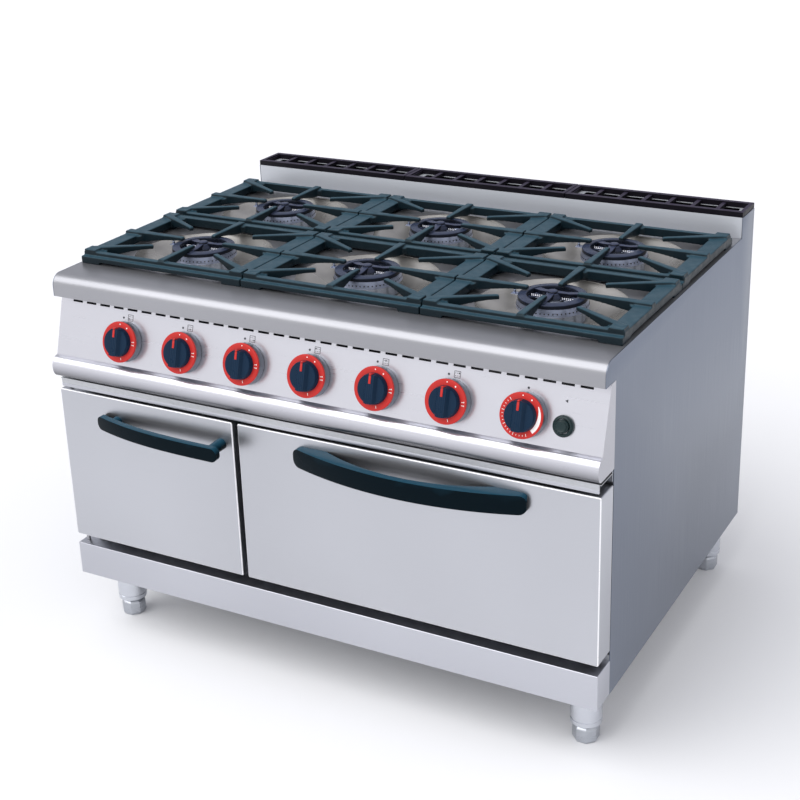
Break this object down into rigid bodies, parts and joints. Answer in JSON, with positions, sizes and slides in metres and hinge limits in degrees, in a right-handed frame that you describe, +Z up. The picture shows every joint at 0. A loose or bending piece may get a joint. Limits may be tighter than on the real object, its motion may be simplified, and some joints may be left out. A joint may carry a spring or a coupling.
{
  "type": "commercial gas range",
  "caption": "Free-standing commercial gas range: open burners with cast pan supports over a side-hinged cabinet and a drop-door oven, on adjustable legs.",
  "frame": {"origin": "floor level at the centre of the footprint, handles included", "axes": "+X to the cook's right, -Y to the front where the doors are, +Z up"},
  "size_m": [1.2, 0.925, 0.8663],
  "materials": {
    "steel_body": "satin brushed stainless sheet",
    "steel_panel": "fine satin stainless sheet",
    "steel_top": "satin stainless worktop sheet",
    "steel_doors": "satin brushed stainless sheet",
    "galvanised_sheet": "matt galvanised sheet",
    "hinge_steel": "zinc-plated steel",
    "oven_steel": "dark vitreous enamel",
    "shelf_wire": "plated wire",
    "grate_iron": "blue-green matt enamelled casting",
    "flue_iron": "dark enamelled casting",
    "burner_metal": "turned bright casting",
    "burner_cap_iron": "blue-black casting",
    "knob_plastic": "red ring on a metallic skirt with a navy grip",
    "handle_plastic": "glossy near-black moulding",
    "button_plastic": "black moulding",
    "seal_rubber": "woven heat-proof seal",
    "gas_brass": "brass pipe and valves",
    "leg_steel": "bright rolled stainless tube",
    "foot_metal": "cast adjuster foot"
  },
  "bodies": {
    "range_body": {"side_panel_left": "steel_body", "side_panel_right": "steel_body", "plinth": "steel_body", "upstand": "steel_body", "control_panel": "steel_panel", "hob_top": "steel_top", "back_panel": "galvanised_sheet", "chassis": "galvanised_sheet", "oven_hinge_left": "hinge_steel", "oven_hinge_right": "hinge_steel", "cabinet_hinge_rod": "hinge_steel", "oven_cavity": "oven_steel", "oven_burner": "oven_steel", "oven_shelf": "shelf_wire", "burner_body_front_left": "burner_metal", "burner_cap_front_left": "burner_cap_iron", "burner_body_front_middle": "burner_metal", "burner_cap_front_middle": "burner_cap_iron", "burner_body_front_right": "burner_metal", "burner_cap_front_right": "burner_cap_iron", "burner_body_back_left": "burner_metal", "burner_cap_back_left": "burner_cap_iron", "burner_body_back_middle": "burner_metal", "burner_cap_back_middle": "burner_cap_iron", "burner_body_back_right": "burner_metal", "burner_cap_back_right": "burner_cap_iron", "ignition_bezel": "button_plastic", "gas_manifold": "gas_brass", "leg_front_left": "leg_steel", "leg_front_right": "leg_steel", "leg_back_left": "leg_steel", "leg_back_right": "leg_steel"},
    "cabinet_door": {"cabinet_door_outer": "steel_doors", "cabinet_door_inner": "galvanised_sheet", "cabinet_handle": "handle_plastic"},
    "oven_door": {"oven_door_outer": "steel_doors", "oven_door_inner": "galvanised_sheet", "oven_door_seal": "seal_rubber", "oven_handle": "handle_plastic"},
    "knob_burner_1": {"knob_burner_1": "knob_plastic"},
    "knob_burner_2": {"knob_burner_2": "knob_plastic"},
    "knob_burner_3": {"knob_burner_3": "knob_plastic"},
    "knob_burner_4": {"knob_burner_4": "knob_plastic"},
    "knob_burner_5": {"knob_burner_5": "knob_plastic"},
    "knob_burner_6": {"knob_burner_6": "knob_plastic"},
    "knob_oven": {"knob_oven": "knob_plastic"},
    "ignition_button": {"ignition_button": "button_plastic"},
    "grate_front_left": {"grate_front_left": "grate_iron"},
    "grate_front_middle": {"grate_front_middle": "grate_iron"},
    "grate_front_right": {"grate_front_right": "grate_iron"},
    "grate_back_left": {"grate_back_left": "grate_iron"},
    "grate_back_middle": {"grate_back_middle": "grate_iron"},
    "grate_back_right": {"grate_back_right": "grate_iron"},
    "flue_grille_left": {"flue_grille_left": "flue_iron"},
    "flue_grille_middle": {"flue_grille_middle": "flue_iron"},
    "flue_grille_right": {"flue_grille_right": "flue_iron"},
    "foot_front_left": {"foot_front_left": "foot_metal"},
    "foot_front_right": {"foot_front_right": "foot_metal"},
    "foot_back_left": {"foot_back_left": "foot_metal"},
    "foot_back_right": {"foot_back_right": "foot_metal"}
  },
  "joints": [
    {"name": "cabinet_door_hinge", "type": "hinge", "parent": "range_body", "child": "cabinet_door", "pos_m": [-0.588, -0.3875, 0.4], "axis": [0, 0, -1], "range_deg": [0, 110]},
    {"name": "oven_door_hinge", "type": "hinge", "parent": "range_body", "child": "oven_door", "pos_m": [0.2215, -0.3875, 0.238], "axis": [1, 0, 0], "range_deg": [0, 90]},
    {"name": "knob_burner_1_turn", "type": "hinge", "parent": "range_body", "child": "knob_burner_1", "pos_m": [-0.429, -0.38939, 0.69], "axis": [0, -0.9594, 0.282], "range_deg": [0, 165]},
    {"name": "knob_burner_2_turn", "type": "hinge", "parent": "range_body", "child": "knob_burner_2", "pos_m": [-0.2827, -0.38939, 0.69], "axis": [0, -0.9594, 0.282], "range_deg": [0, 165]},
    {"name": "knob_burner_3_turn", "type": "hinge", "parent": "range_body", "child": "knob_burner_3", "pos_m": [-0.1364, -0.38939, 0.69], "axis": [0, -0.9594, 0.282], "range_deg": [0, 165]},
    {"name": "knob_burner_4_turn", "type": "hinge", "parent": "range_body", "child": "knob_burner_4", "pos_m": [0.0099, -0.38939, 0.69], "axis": [0, -0.9594, 0.282], "range_deg": [0, 165]},
    {"name": "knob_burner_5_turn", "type": "hinge", "parent": "range_body", "child": "knob_burner_5", "pos_m": [0.1562, -0.38939, 0.69], "axis": [0, -0.9594, 0.282], "range_deg": [0, 165]},
    {"name": "knob_burner_6_turn", "type": "hinge", "parent": "range_body", "child": "knob_burner_6", "pos_m": [0.3025, -0.38939, 0.69], "axis": [0, -0.9594, 0.282], "range_deg": [0, 165]},
    {"name": "knob_oven_turn", "type": "hinge", "parent": "range_body", "child": "knob_oven", "pos_m": [0.45, -0.38939, 0.69], "axis": [0, -0.9594, 0.282], "range_deg": [0, 320]},
    {"name": "ignition_button_push", "type": "slide", "parent": "range_body", "child": "ignition_button", "axis": [0, 0.9594, -0.282], "range_m": [0, 0.004], "stiffness_N_per_m": 800},
    {"name": "grate_front_left_lift", "type": "slide", "parent": "range_body", "child": "grate_front_left", "axis": [0, 0, 1], "range_m": [0, 0.15]},
    {"name": "grate_front_middle_lift", "type": "slide", "parent": "range_body", "child": "grate_front_middle", "axis": [0, 0, 1], "range_m": [0, 0.15]},
    {"name": "grate_front_right_lift", "type": "slide", "parent": "range_body", "child": "grate_front_right", "axis": [0, 0, 1], "range_m": [0, 0.15]},
    {"name": "grate_back_left_lift", "type": "slide", "parent": "range_body", "child": "grate_back_left", "axis": [0, 0, 1], "range_m": [0, 0.15]},
    {"name": "grate_back_middle_lift", "type": "slide", "parent": "range_body", "child": "grate_back_middle", "axis": [0, 0, 1], "range_m": [0, 0.15]},
    {"name": "grate_back_right_lift", "type": "slide", "parent": "range_body", "child": "grate_back_right", "axis": [0, 0, 1], "range_m": [0, 0.15]},
    {"name": "flue_grille_left_lift", "type": "slide", "parent": "range_body", "child": "flue_grille_left", "axis": [0, 0, 1], "range_m": [0, 0.1]},
    {"name": "flue_grille_middle_lift", "type": "slide", "parent": "range_body", "child": "flue_grille_middle", "axis": [0, 0, 1], "range_m": [0, 0.1]},
    {"name": "flue_grille_right_lift", "type": "slide", "parent": "range_body", "child": "flue_grille_right", "axis": [0, 0, 1], "range_m": [0, 0.1]},
    {"name": "foot_front_left_screw", "type": "slide", "parent": "range_body", "child": "foot_front_left", "axis": [0, 0, -1], "range_m": [0, 0.04]},
    {"name": "foot_front_right_screw", "type": "slide", "parent": "range_body", "child": "foot_front_right", "axis": [0, 0, -1], "range_m": [0, 0.04]},
    {"name": "foot_back_left_screw", "type": "slide", "parent": "range_body", "child": "foot_back_left", "axis": [0, 0, -1], "range_m": [0, 0.04]},
    {"name": "foot_back_right_screw", "type": "slide", "parent": "range_body", "child": "foot_back_right", "axis": [0, 0, -1], "range_m": [0, 0.04]}
  ]
}
